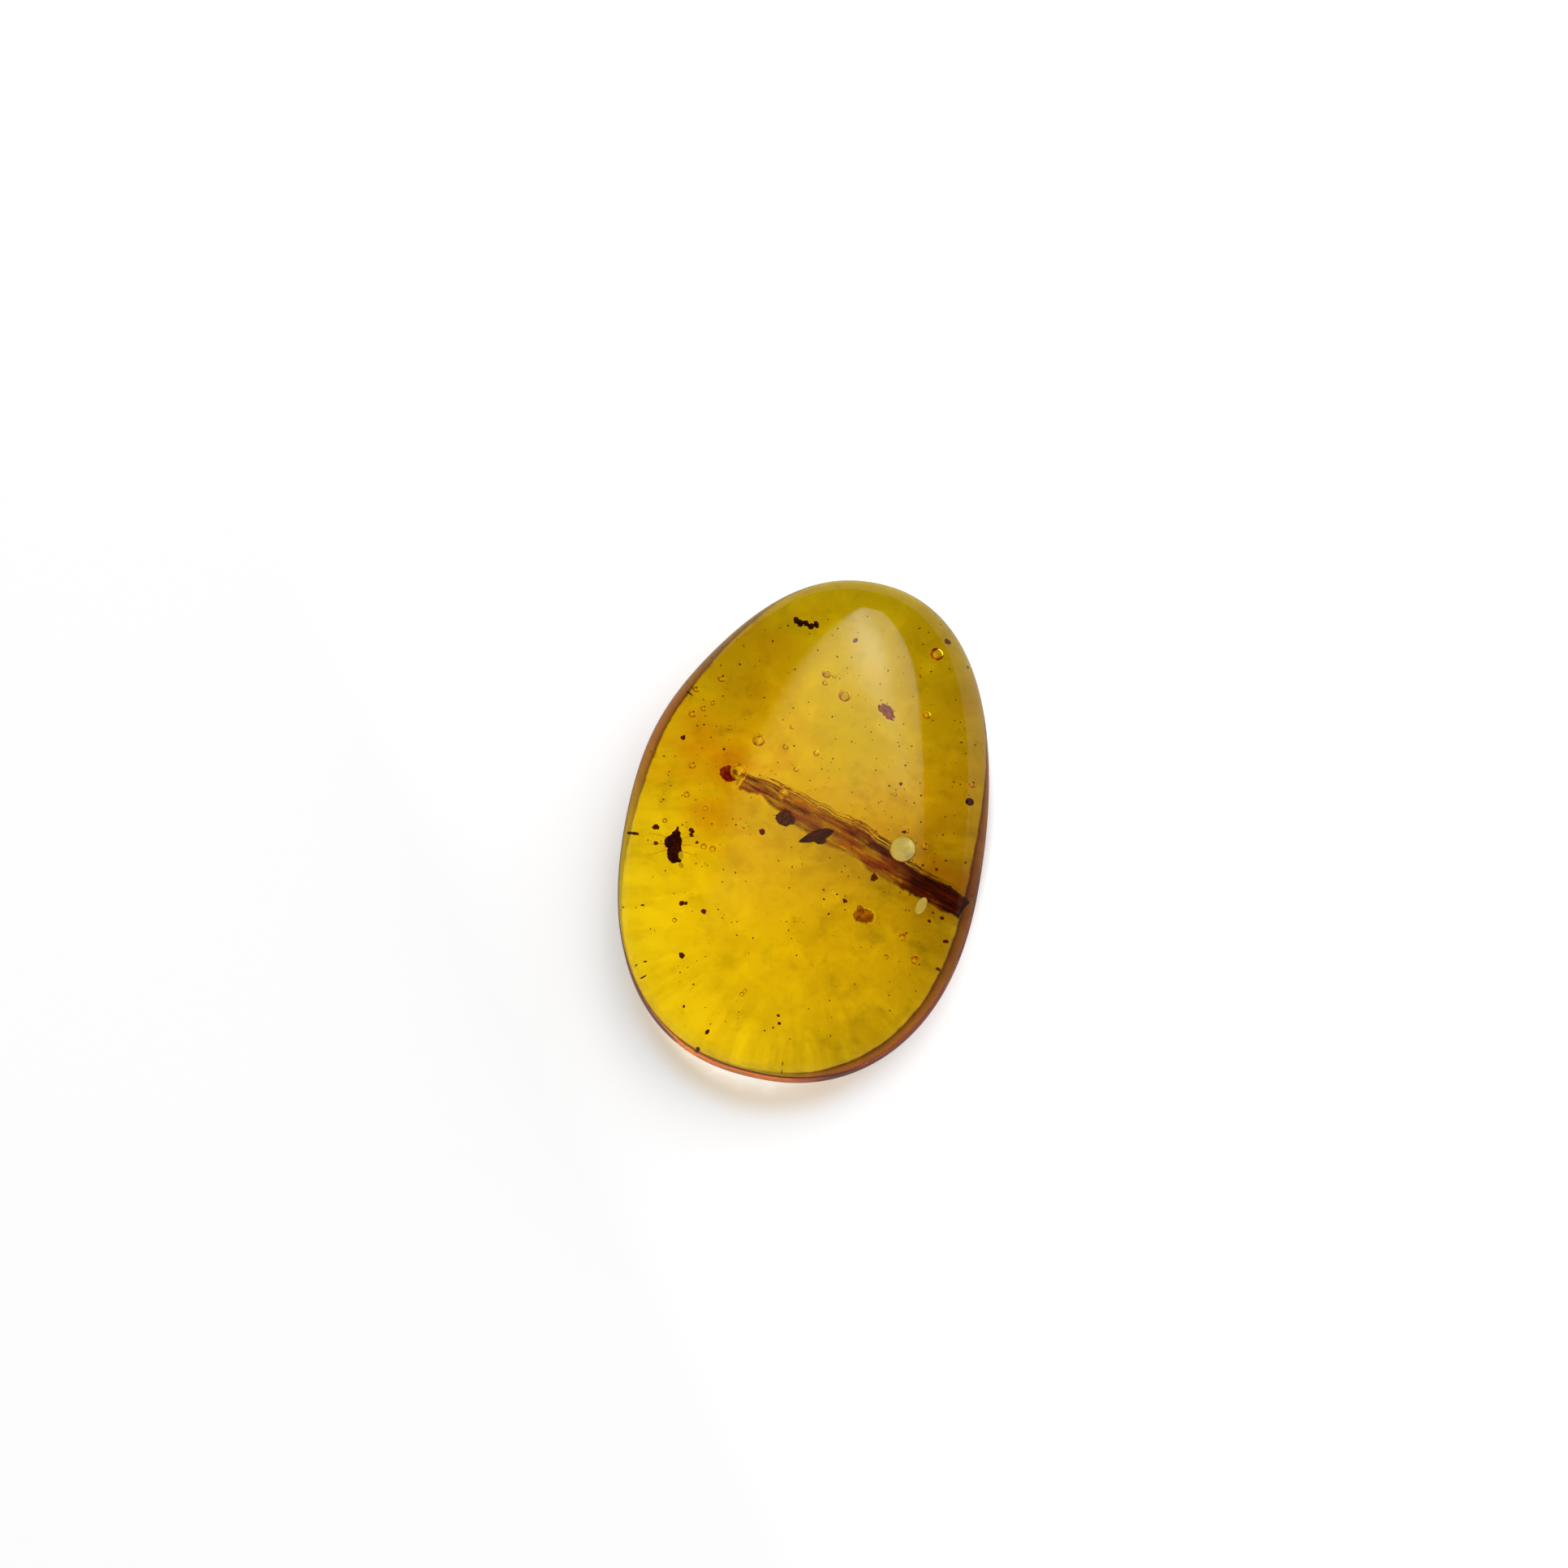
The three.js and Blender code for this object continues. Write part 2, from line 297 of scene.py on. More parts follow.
stone = {
    "halfWidth": 8.82,
    "halfLength": 12.76,
    "height": 6.6,
    "squareness": 2.2,
    "lobes": ((1, -0.012, -0.0453), (2, 0.0078, 0.0038), (3, -0.0155, -0.021),
              (4, 0.002, -0.0103), (5, 0, 0.0092)),   # waves of the outline: how many, cosine, sine
    "nose": radians(-50),                 # nose, brow, back and heel are the four sides of the rim
    "girdle": (1.6, 1.2, 1.4, 0.9),
    "inset": (1.0, 0.5, 0.5, 0.4),
    "spread": (2.0, 2.2, 2.4, 2.4),       # powers that give the dome its curve
    "shoulder": (3.6, 2.9, 7.0, 7.0),
    "lean": 0.12,
    "footLatitude": pi / 3,
    "segments": 256,
    "rings": 150,
    "polish": 0.012,                      # depth and width of the polish's slow waves
    "polishWave": 4.0,
    "paintedRimShade": (0.75, 0.01, 0.8, 0.1),       # how far the brown band of painted shade reaches in from the outline
    "paintedRimShadeTurn": radians(30),              # its four sides lie a little further round
    "paintedRimLine": (1, 0, 0.35, 0),             # how dark the painted shade at its inner edge is
    "bend": 1.54,
}


def outlineRadius(angle):
    power = stone["squareness"]
    across = abs(cos(angle) / stone["halfWidth"]) ** power
    along = abs(sin(angle) / stone["halfLength"]) ** power
    waves = sum(c * cos(k * angle) + s * sin(k * angle) for k, c, s in stone["lobes"])
    return (across + along) ** (-1 / power) * (1 + waves)


def aroundRim(angle, values):
    nose, brow, back, heel = values
    toNose = cos(angle - stone["nose"])
    toBrow = sin(angle - stone["nose"])
    return (nose * max(0, toNose) ** 2 + brow * max(0, toBrow) ** 2
            + back * max(0, -toNose) ** 2 + heel * max(0, -toBrow) ** 2)


def stonePoint(ball):                     # where a point of a unit ball lies on the stone, and how far in
    angle = atan2(ball.y, ball.x)
    latitude = asin(max(-1, min(1, ball.z)))
    rim = outlineRadius(angle)
    girdle = aroundRim(angle, stone["girdle"])
    inset = aroundRim(angle, stone["inset"])
    foot = stone["footLatitude"]
    if latitude >= 0:                     # dome
        reach = cos(latitude) ** (2 / aroundRim(angle, stone["spread"]))
        rise = sin(latitude) ** (2 / aroundRim(angle, stone["shoulder"]))
        lean = 1 + stone["lean"] * reach * sin(angle - stone["nose"])
        radius = rim * reach
        height = girdle + (stone["height"] - girdle) * rise * lean
    elif latitude > -foot:                # rounded edge under it
        sweep = -latitude / foot * pi / 2
        radius = rim - inset * (1 - cos(sweep))
        height = girdle * (1 - sin(sweep))
    else:                                 # flat underside
        radius = (rim - inset) * (latitude + pi / 2) / (pi / 2 - foot)
        height = 0
    return Vector((radius * cos(angle), radius * sin(angle), height)), rim - radius


def startStone():
    bm = bmesh.new()
    bmesh.ops.create_uvsphere(bm, u_segments=stone["segments"], v_segments=stone["rings"], radius=1)
    # where the rim's painted shade lies, and how dark its inner line is
    paintedRimShade = bm.verts.layers.float.new("paintedRimShade")
    paintedRimLine = bm.verts.layers.float.new("paintedRimLine")
    for vert in bm.verts:
        ball = vert.co.copy()
        vert.co, depth = stonePoint(ball)
        turned = atan2(ball.y, ball.x) - stone["paintedRimShadeTurn"]
        width = aroundRim(turned, stone["paintedRimShade"])
        vert[paintedRimLine] = aroundRim(turned, stone["paintedRimLine"])
        vert[paintedRimShade] = max(0, 1 - depth / width) if ball.z > -sin(stone["footLatitude"]) else 0
        if ball.z > 0:                    # slow waves left by hand polishing
            wave = noise.noise(vert.co / stone["polishWave"])
            vert.co.z += stone["polish"] * wave * min(1, 2 * ball.z)
    off = middleOf(bm) - (cadBox[0] + cadBox[1]) / 2 / mm
    bmesh.ops.translate(bm, verts=bm.verts, vec=(-off.x, -off.y, 0))
    bmesh.ops.recalc_face_normals(bm, faces=bm.faces)
    return bm


stoneMesh = startStone()
stoneTree = BVHTree.FromBMesh(stoneMesh)


def seenAt(across, down, height):         # the spot inside the stone that shows at a pixel of the photograph
    line = sightLine(across, down)
    hit, normal = stoneTree.ray_cast(eye, line)[:2]
    slant = -line.dot(normal)
    bend = 1 / stone["bend"]
    inside = line * bend + normal * (bend * slant - sqrt(1 - bend ** 2 * (1 - slant ** 2)))
    return hit + inside * ((height - hit.z) / inside.z)


# gas bubbles, as hollows in the stone: pixel, radius in pixels, height, and for flat ones their flatness
bubbles = {
    "round": ((1155, 806, 8, 3.6), (889, 836, 4.5, 3.2), (857, 849, 3.2, 2.9), (853, 880, 4.2, 3.0),
              (867, 873, 3.6, 3.4), (878, 866, 3.2, 3.4), (935, 912, 8, 4.2), (1006, 928, 4, 4.0),
              (981, 948, 3.5, 4.4), (968, 920, 4, 4.2), (1142, 881, 5, 3.6), (1139, 1043, 4.5, 3.9),
              (1112, 1155, 4.5, 3.2), (1127, 1183, 5, 2.6), (1092, 1179, 3, 2.8), (831, 1134, 3, 2.2),
              (1198, 967, 4, 2.4), (853, 943, 4.5, 3.4), (846, 979, 4, 3.4), (869, 996, 3.5, 3.4),
              (965, 979, 6, 4.2), (976, 896, 3, 4.4), (899, 897, 3, 3.8), (867, 1043, 4, 3.6),
              (878, 1046, 4, 3.6), (819, 1011, 3, 2.8), (1041, 857, 8, 4.6), (1019, 830, 6, 4.4),
              (1017, 841, 4, 4.2), (1028, 833, 3, 4.6), (914, 1225, 3, 2.6), (918, 1221, 2.5, 2.7),
              (1118, 1024, 3, 4.0), (1103, 979, 2.5, 4.6)),
    "roundFlatness": 0.85,
    "flat": ((910, 950, 10, 3.8, 0.6), (1112.5, 1046, 16, 5.7, 0.15), (1066, 1130, 13, 2.4, 0.06),
             (1024, 1110, 12, 2.3, 0.04)),
}


def addBubble(bm, across, down, size, height, flatness, fine):
    half = size / photo["pixelsPerMm"]
    addBall(bm, seenAt(across, down, height), (half, half, half * flatness), fine=fine)


def addBubbles():
    bm = bmesh.new()
    for bubble in bubbles["round"]:
        addBubble(bm, *bubble, bubbles["roundFlatness"], fine=3)
    for bubble in bubbles["flat"]:
        addBubble(bm, *bubble, fine=4)
    bmesh.ops.reverse_faces(bm, faces=bm.faces)   # a hollow's wall faces into the hollow
    pour(stoneMesh, bm)


addBubbles()

# the resin's tints: clouds, stains and painted shade lie on the underside, a brown band of painted shade
# along the rim
amber = {
    "clear": tone(1, 1, 1),
    "cloud": tone(0.66, 0.60, 0.4),
    "haze": tone(1, 0.76, 0.3),
    "rust": tone(0.80, 0.42, 0.1),
    "streak": tone(0.62, 0.56, 0.3),
    "russet": tone(0.62, 0.26, 0.04),
    "dusk": tone(0.42, 0.32, 0.04),
    # painted under the highlight: a greener tint that gives the highlight its colour
    "paintedHighlightTint": tone(0.78, 0.98, 0.9),
    "underside": (0.25, 0.05),            # heights between which its tints come in
    # veils of noise, which is scale, detail, roughness and swirl; each shows between two values of its noise
    "veils": {
        "clouds": {"tint": "cloud", "turn": photo["azimuth"], "centre": (0, 0, 0), "stretch": (0.3, 0.45, 0),
                   "noise": (1.0, 4, 0.55, 0.8), "shows": (0.45, 0.75), "share": 0.8},
        "rust": {"tint": "rust", "turn": photo["azimuth"], "centre": (4, 9, 0), "stretch": (0.32, 0.5, 0),
                 "noise": (1.0, 5, 0.6, 1.2), "shows": (0.5, 0.72), "share": 0.5},
        "grain": {"tint": "streak", "turn": 0, "centre": (0, 0, 0), "stretch": (1, 1, 1),
                  "noise": (2.4, 5, 0.65, 0.8), "shows": (0.48, 0.72), "share": 0.28},
        "bands": {"tint": "streak", "turn": photo["azimuth"] + radians(8), "centre": (0, 0, 0),
                  "stretch": (0.16, 1.3, 0), "noise": (1.0, 3, 0.5, 0.7), "shows": (0.5, 0.62),
                  "share": 0.35},
    },
    "rustFrom": (-6, 0),                  # places between which a veil comes in
    "bandsFrom": (-2.5, -6.0),
    "hazeSpot": ((-1.5, 2.0, 0), 8.0),    # centre and radius
    "hazeShare": 0.15,
    "paintedShadeRight": (1, 8),                   # painted shade: darker at the right and at the blunt end
    "paintedShadeBlunt": (-5, -11),
    "paintedShadeShare": 0.25,
    "fan": {"centre": (0.5, -4.0, 0), "rays": 9, "length": 0.25, "noise": (1.0, 3, 0.6),
            "shows": (0.42, 0.62), "from": (3.0, 6.0), "below": (-5.5, -8.5),
            "share": 0.45},               # streaks at the blunt end
    "stainsAndPaintedTints": {                           # pixel, radius in millimetres, strength
        "russet": ((868, 900, 1.5, 0.6), (850, 925, 0.9, 0.5), (880, 1012, 1.6, 0.6), (900, 938, 1.6, 0.9),
                   (862, 1000, 1.0, 0.5), (905, 1060, 1.2, 0.4), (960, 800, 1.4, 0.4), (1010, 905, 1.5, 0.3),
                   (1180, 1085, 1.6, 0.6), (1150, 1062, 1.0, 0.5), (865, 930, 3.2, 0.4)),
        # darker patches at the upper left, beside the highlight
        "dusk": ((920, 840, 4.0, 0.75), (975, 795, 2.5, 0.4)),
        # tint painted under the highlight
        "paintedHighlightTint": ((1060, 805, 5.0, 0.7), (1065, 900, 5.2, 0.75)),
    },
    "stainCore": 0.1,                     # share of a stain's radius that has its full strength
    "fray": (0.9, 4, 0.55, 0.4),          # noise that frays the edges of stains and of the painted rim shade
    "stainFray": 1.2,
    "paintedRimShadeFray": 0.3,
    # a brown band of painted shade along the rim
    "paintedRimShade": tone(0.32, 0.10, 0.02),
    "paintedRimShadeEdge": (0.0, 0.16),
    "paintedRimLine": tone(0.05, 0.009, 0.001),    # painted shade at its inner edge
    "paintedRimLineEdge": (0.65, 0.1),
    "ember": tone(0.42, 0.55, 0.25),      # the painted rim shade's colour where it is thin
    "emberEnds": (0.05, 0.4),
    "absorbs": (0.0145, 0.066, 1.0),      # share of red, green and blue that is taken up
    "density": 1000,
    "gleam": tone(0.9, 0.9, 0.85),
    "roughness": 0.012,
}


def amberFinish():
    finish = newFinish("amber")
    place = finish.spot()
    x, y, z = finish.split(place)
    across = finish.split(finish.spot(photo["azimuth"]))[0]
    underside = z.ease(*amber["underside"])
    fray = finish.cloud(place, *amber["fray"]) - 0.5

    def near(spot, radius):
        away = finish.vectors("DISTANCE", place, spot, "Value")
        return (away + amber["stainFray"] * fray).ease(radius, amber["stainCore"] * radius) * underside

    def addVeil(colour, name, where):
        veil = amber["veils"][name]
        spot = finish.spot(veil["turn"], veil["centre"], veil["stretch"])
        pattern = finish.cloud(spot, *veil["noise"]).ease(*veil["shows"])
        return finish.blend(pattern * where * veil["share"], colour, amber[veil["tint"]])

    def addFan(colour):
        fan = amber["fan"]
        fanX, fanY = finish.split(finish.spot(centre=fan["centre"]))[:2]
        around = fanX.maths("ARCTAN2", fanX, fanY)
        reach = (fanX * fanX + fanY * fanY) ** 0.5
        spot = finish.add("ShaderNodeCombineXYZ", sockets={0: fan["rays"] * around, 1: fan["length"] * reach})
        rays = finish.cloud(spot, *fan["noise"]).ease(*fan["shows"])
        where = reach.ease(*fan["from"]) * y.ease(*fan["below"]) * underside
        return finish.blend(rays * where * fan["share"], colour, amber["streak"])

    colour = addVeil(amber["clear"], "clouds", underside)
    colour = finish.blend(near(*amber["hazeSpot"]) * amber["hazeShare"], colour, amber["haze"])
    colour = addVeil(colour, "rust", y.ease(*amber["rustFrom"]) * underside)
    # painted shade: darker towards the right and the blunt end
    dim = across.ease(*amber["paintedShadeRight"]).most(y.ease(*amber["paintedShadeBlunt"]))
    colour = finish.blend(dim * underside * amber["paintedShadeShare"], colour, amber["cloud"])
    colour = addVeil(colour, "grain", underside)
    colour = addVeil(colour, "bands", x.ease(*amber["bandsFrom"]) * underside)
    colour = addFan(colour)
    for tint, stainsAndPaintedTints in amber["stainsAndPaintedTints"].items():
        for pixelAcross, pixelDown, radius, strength in stainsAndPaintedTints:
            stain = near(seenAt(pixelAcross, pixelDown, 0), radius)
            colour = finish.blend(stain * strength, colour, amber[tint])
    # the brown band of painted shade along the rim, darkest at its inner line
    paintedRimShade = finish.carried("paintedRimShade")
    paintedRimLine = finish.carried("paintedRimLine").ease(*amber["emberEnds"])
    brown = finish.blend(paintedRimLine, amber["ember"], amber["paintedRimShade"])
    brown = finish.blend(paintedRimLine * paintedRimShade.ease(*amber["paintedRimLineEdge"]), brown, amber["paintedRimLine"])
    colour = finish.blend((paintedRimShade + amber["paintedRimShadeFray"] * fray).ease(*amber["paintedRimShadeEdge"]), colour, brown)
    finish.shade({
        "Base Color": colour, "Transmission Weight": 1, "IOR": stone["bend"],
        "Specular Tint": amber["gleam"], "Roughness": amber["roughness"]})
    finish.absorb(amber["absorbs"], amber["density"])
    return finish.owner


# the strip of plant fibre, drawn from its left end along its own axis; edges are places along and across it
strip = {
    "start": (-4.53, 1.43, 2.8),
    "turn": radians(-15.2),
    "upper": ((0.95, 0.5), (2.4, 0.72), (5.0, 0.72), (7.3, 0.88), (8.4, 0.66), (9.6, 0.36), (11.6, 0.35),
              (12.75, 0.2)),
    "lower": ((0.95, -0.38), (2.2, -0.14), (3.0, -0.42), (4.4, -0.68), (5.8, -0.72), (7.4, -0.52),
              (8.3, -0.8), (10.8, -0.86), (12.75, -0.83)),
    "widen": 1.08,
    "thickness": 0.22,
    "crown": 0.16,
    "ripple": 0.07,
    "rippleScale": (0.6, 9),              # waves along and across
    "sink": 0.08,
    "ragged": 0.09,
    "raggedScale": (2.2, 0.7),
    "fine": (220, 28),
    "strands": 110,
    "strandRadius": 0.022,
    "strandThickness": (0.5, 1.2),        # shares of the radius
    "strandPoints": 10,
    "strandReach": 1.12,                  # loose strands stand past the upper edge
    "strandCrowd": 0.6,                   # a power under 1 crowds them towards that edge
    "strandStart": (-0.01, 0.7),          # shares of the strip's length
    "strandLength": (0.12, 0.3),
    "strandDrift": 0.05,
    "strandLift": (0.02, 0.12),
    "fibres": ((0.35, 6, 3), (1.0, 5, 0.6, 0.3)),     # stretch and noise
    "patches": ((0.8, 1.6, 1), (1.0, 3, 0.5)),
    "pale": (tone(0.2, 0.036, 0.008), tone(0.86, 0.26, 0.045)),
    "paleFibres": (0.38, 0.6),
    "dark": (tone(0.012, 0.001, 0.0005), tone(0.2, 0.025, 0.006)),
    "darkFibres": (0.3, 0.7),
    "rotsFrom": (7.6, 10.6),
    "rotMottle": 7,
    "rotUpper": 1.4,                      # the upper side rots first
    "cover": 0.57,
    "coverFibres": 1.1,                   # light shows between the fibres
    "coverEnds": (0.15, 0.95),
    "wornMottle": 0.7,
    "wornFrom": (1.0, 0.45),              # the edges have rotted thin
    "roughness": (0.55, 0.3),             # least, and what the pattern adds
    "relief": (0.6, 0.05),                # strength and depth
}


def edgeAt(points, along):
    for (fromAlong, fromAcross), (toAlong, toAcross) in zip(points, points[1:]):
        if along <= toAlong:
            share = (along - fromAlong) / (toAlong - fromAlong)
            return fromAcross + (toAcross - fromAcross) * share * share * (3 - 2 * share)
    return points[-1][1]


def stripSpot(share, across):             # share runs along the strip, across from 0 at the lower edge to 1
    first, last = strip["upper"][0][0], strip["upper"][-1][0]
    along = first + (last - first) * share
    rags, waves = strip["raggedScale"], strip["rippleScale"]
    fray = strip["ragged"] * noise.fractal(Vector((along * rags[0], across * rags[1], 3)), 1.0, 2.0, 5)
    low, high = edgeAt(strip["lower"], along), edgeAt(strip["upper"], along)
    offMiddle = strip["widen"] * (high - low) * (across - 0.5) + fray * (2 * across - 1)
    crown = strip["crown"] * (1 - (2 * across - 1) ** 2)
    ripple = strip["ripple"] * noise.noise(Vector((along * waves[0], across * waves[1], 0)))
    return Vector((along + fray, (low + high) / 2 + offMiddle, crown + ripple - strip["sink"]))


def addStrand(bm):
    across = strip["strandReach"] * chance.random() ** strip["strandCrowd"]
    start = chance.uniform(*strip["strandStart"])
    length = chance.uniform(*strip["strandLength"])
    drift = chance.uniform(-strip["strandDrift"], strip["strandDrift"])
    lift = Vector((0, 0, chance.uniform(*strip["strandLift"])))
    steps = [step / (strip["strandPoints"] - 1) for step in range(strip["strandPoints"])]
    points = [stripSpot(min(start + length * step, 1), across + drift * step) + lift for step in steps]
    addThread(bm, points, strip["strandRadius"] * chance.uniform(*strip["strandThickness"]))


def makeStrip():
    bm = bmesh.new()
    worn = bm.verts.layers.float.new("worn")
    segments, rows = strip["fine"]
    bmesh.ops.create_grid(bm, x_segments=segments, y_segments=rows, size=0.5)
    for vert in bm.verts:
        vert[worn] = (2 * vert.co.y) ** 2
        vert.co = stripSpot(vert.co.x + 0.5, vert.co.y + 0.5)
    bmesh.ops.solidify(bm, geom=bm.faces[:], thickness=strip["thickness"])
    for strand in range(strip["strands"]):
        addStrand(bm)
    place = Matrix.Translation(strip["start"]) @ turnAbout(strip["turn"])
    bmesh.ops.transform(bm, matrix=place, verts=bm.verts)
    bmesh.ops.recalc_face_normals(bm, faces=bm.faces)
    seat(bm, "plant_strip")
    makePiece("plantStrip", bm, plantFinish(), "plant_fibre", "plant_strip")


def plantFinish():
    finish = newFinish("plantFibre")

    def pattern(stretch, values):
        return finish.cloud(finish.spot(strip["turn"], strip["start"], stretch), *values)

    along, across = finish.split(finish.spot(strip["turn"], strip["start"]))[:2]
    fibres = pattern(*strip["fibres"])
    mottle = pattern(*strip["patches"]) - 0.5
    pale = finish.blend(fibres.ease(*strip["paleFibres"]), *strip["pale"])
    dark = finish.blend(fibres.ease(*strip["darkFibres"]), *strip["dark"])
    rotted = (along + strip["rotMottle"] * mottle + strip["rotUpper"] * across).ease(*strip["rotsFrom"])
    cover = strip["cover"] + (1 - strip["cover"]) * rotted + strip["coverFibres"] * (0.5 - fibres) + mottle
    worn = (finish.carried("worn") + strip["wornMottle"] * mottle).ease(*strip["wornFrom"])
    least, added = strip["roughness"]
    finish.seal({
        "Base Color": finish.blend(rotted, pale, dark), "Roughness": least + added * fibres,
        "Alpha": cover.ease(*strip["coverEnds"]) * worn, "Normal": finish.bump(fibres, *strip["relief"])})
    return finish.owner


# the beetle, head towards +Y before it turns; parts are centre and half sizes, rough is depth, scale, seed
beetle = {
    "turn": radians(11),
    "abdomen": ((0.02, -0.34, 0), (0.36, 0.54, 0.28)),
    "abdomenRough": (0.025, 7, 1),
    "ringStep": 0.17,
    "ringDepth": (0.05, 0.06),            # across and in height
    "seamWidth": 0.03,
    "seamDepth": 0.08,
    "thorax": ((0.0, 0.18, 0), (0.35, 0.42, 0.26)),
    "thoraxRough": (0.04, 6, 2),
    "head": ((0.06, 0.58, -0.02), (0.2, 0.2, 0.16)),
    "headRough": (0.025, 7, 3),
    "wingCase": ((-0.3, 0.14, 0.1), (0.2, 0.3, 0.06)),
    "wingCaseRough": (0.04, 7, 4),
    "wingLift": radians(18),
    "tail": ((0.26, -0.7, -0.02), (0.12, 0.13, 0.1)),
    "eyes": ((-0.09, 0.62, 0.03), (0.21, 0.62, 0.03)),
    "eyeHalf": (0.06, 0.07, 0.07),
    "snout": ((0.07, 0.66, -0.02), (0.12, 0.96, -0.06), 0.09, 0.045),
    "hips": (0.34, 0.06, -0.2),           # where the three pairs of legs start
    "hip": (0.22, -0.12),                 # across and height
    "knee": (0.66, 0.06),
    "foot": (1.16, -0.16),
    "footBack": 0.06,
    "ankleShare": 0.62,
    "splay": 0.14,
    "legRadius": (0.034, 0.024, 0.014, 0.008),
    "shell": (tone(0.02, 0.002, 0.001), tone(0.11, 0.011, 0.003)),
    "mottle": (6, 4, 0.6),                # noise
    "mottleShows": (0.35, 0.7),
    "pits": (28, 2, 0.5),
    "roughness": (0.25, 0.3),
    "relief": (0.5, 0.02),
    "leg": tone(0.9, 0.35, 0.05),
    "legClear": 0.75,
}


def addLeg(bm, limbs, side, pair):
    hip = beetle["hips"][pair]
    splay = beetle["splay"] * (1 - pair)
    start = Vector((side * beetle["hip"][0], hip, beetle["hip"][1]))
    knee = Vector((side * beetle["knee"][0], hip + splay, beetle["knee"][1]))
    foot = Vector((side * beetle["foot"][0], hip + 2 * splay - beetle["footBack"], beetle["foot"][1]))
    joints = (start, knee, knee.lerp(foot, beetle["ankleShare"]), foot)
    for part in range(3):
        thick, thin = beetle["legRadius"][part:part + 2]
        for vert in addLimb(bm, joints[part], joints[part + 1], thick, thin):
            vert[limbs] = 1


def makeBeetle():
    bm = bmesh.new()
    limbs = bm.verts.layers.float.new("limbs")
    abdomen = addBall(bm, *beetle["abdomen"], fine=5)
    middle = beetle["abdomen"][0][0]
    narrow, low = beetle["ringDepth"]
    for vert in abdomen:                  # rings of the abdomen, and a seam between the wing cases
        ring = 0.5 + 0.5 * cos(2 * pi * vert.co.y / beetle["ringStep"])
        seam = max(0, 1 - abs(vert.co.x - middle) / beetle["seamWidth"]) if vert.co.z > 0 else 0
        vert.co *= Vector((1 - narrow * ring, 1, 1 - low * ring - beetle["seamDepth"] * seam))
    roughen(abdomen, (0, 0, 0), *beetle["abdomenRough"])
    roughen(addBall(bm, *beetle["thorax"], fine=4), (0, 0, 0), *beetle["thoraxRough"])
    roughen(addBall(bm, *beetle["head"], fine=4), (0, 0, 0), *beetle["headRough"])
    case = addBall(bm, *beetle["wingCase"], turnAbout(beetle["wingLift"], "Y"), fine=4)
    roughen(case, beetle["wingCase"][0], *beetle["wingCaseRough"])
    addBall(bm, *beetle["tail"])
    for spot in beetle["eyes"]:
        addBall(bm, spot, beetle["eyeHalf"])
    addLimb(bm, *beetle["snout"])
    for side in (-1, 1):
        for pair in range(3):
            addLeg(bm, limbs, side, pair)
    bmesh.ops.rotate(bm, matrix=turnAbout(beetle["turn"]), verts=bm.verts)
    seat(bm, "insect")
    makePiece("beetle", bm, chitinFinish(), "chitin", "insect")


def chitinFinish():
    finish = newFinish("chitin")
    place = finish.spot()
    mottle = finish.cloud(place, *beetle["mottle"])
    pits = finish.cloud(place, *beetle["pits"])
    limbs = finish.carried("limbs")       # the legs are thin and let light through
    shell = finish.blend(mottle.ease(*beetle["mottleShows"]), *beetle["shell"])
    least, added = beetle["roughness"]
    finish.seal({
        "Base Color": finish.blend(limbs, shell, beetle["leg"]), "Alpha": 1 - beetle["legClear"] * limbs,
        "Roughness": least + added * mottle, "Normal": finish.bump(pits, *beetle["relief"])})
    return finish.owner


# what crumbs, scales and droppings share; each has its own colours, stretch of the grain, turn and cover
litter = {
    "noise": (1.0, 5, 0.65, 0.2),
    "shows": (0.3, 0.7),
    "roughness": (0.55, 0.3),
    "relief": (0.7, 0.05),
}


def litterFinish(name, look):
    finish = newFinish(name)
    spot = finish.spot(look.get("turn", 0), stretch=look["grain"])
    grain = finish.cloud(spot, *litter["noise"])
    cover = look.get("cover", 1)
    least, added = litter["roughness"]
    finish.seal({
        "Base Color": finish.blend(grain.ease(*litter["shows"]), *look["colours"]),
        "Alpha": cover + 2 * (1 - cover) * (0.5 - grain),
        "Roughness": least + added * grain, "Normal": finish.bump(grain, *litter["relief"])})
    return finish.owner


budScale = {
    "turn": radians(33),
    "halfLength": 0.88,
    "halfWidth": 0.27,
    "thickness": 0.1,
    "fine": (60, 20),
    "tip": 0.02,                          # share of the width that is left at the ends
    "taper": 0.7,
    "skew": 0.25,
    "cup": 0.1,
    "ribs": 5,
    "ribDepth": 0.03,
    "sag": 0.05,
    "rough": (0.03, 6, 11),
    "flap": ((0.12, -0.3, -0.05), (0.3, 0.14, 0.03)),
    "flapTurn": radians(-20),
    "flapRough": (0.05, 6, 12),
    "colours": (tone(0.03, 0.009, 0.003), tone(0.17, 0.05, 0.015)),
    "grain": (2, 14, 6),
}


def makeBudScale():
    bm = bmesh.new()
    segments, rows = budScale["fine"]
    bmesh.ops.create_grid(bm, x_segments=segments, y_segments=rows, size=1)
    for vert in bm.verts:                 # a leaf blade that cups, with ribs along it
        along, across = vert.co.x, vert.co.y
        width = max(budScale["tip"], 1 - along * along) ** budScale["taper"] * (1 + budScale["skew"] * along)
        rib = budScale["ribDepth"] * cos(across * budScale["ribs"] * pi)
        height = budScale["cup"] * across * across + rib - budScale["sag"] * along * along
        vert.co = Vector((along * budScale["halfLength"], across * width * budScale["halfWidth"], height))
    bmesh.ops.solidify(bm, geom=bm.faces[:], thickness=budScale["thickness"])
    roughen(bm.verts, (0, 0, 0), *budScale["rough"])
    flap = addBall(bm, *budScale["flap"], turnAbout(budScale["flapTurn"]), fine=4)
    roughen(flap, budScale["flap"][0], *budScale["flapRough"])
    bmesh.ops.rotate(bm, matrix=turnAbout(budScale["turn"]), verts=bm.verts)
    bmesh.ops.recalc_face_normals(bm, faces=bm.faces)
    seat(bm, "bud_scale")
    makePiece("budScale", bm, litterFinish("budScale", budScale), "litter", "bud_scale")


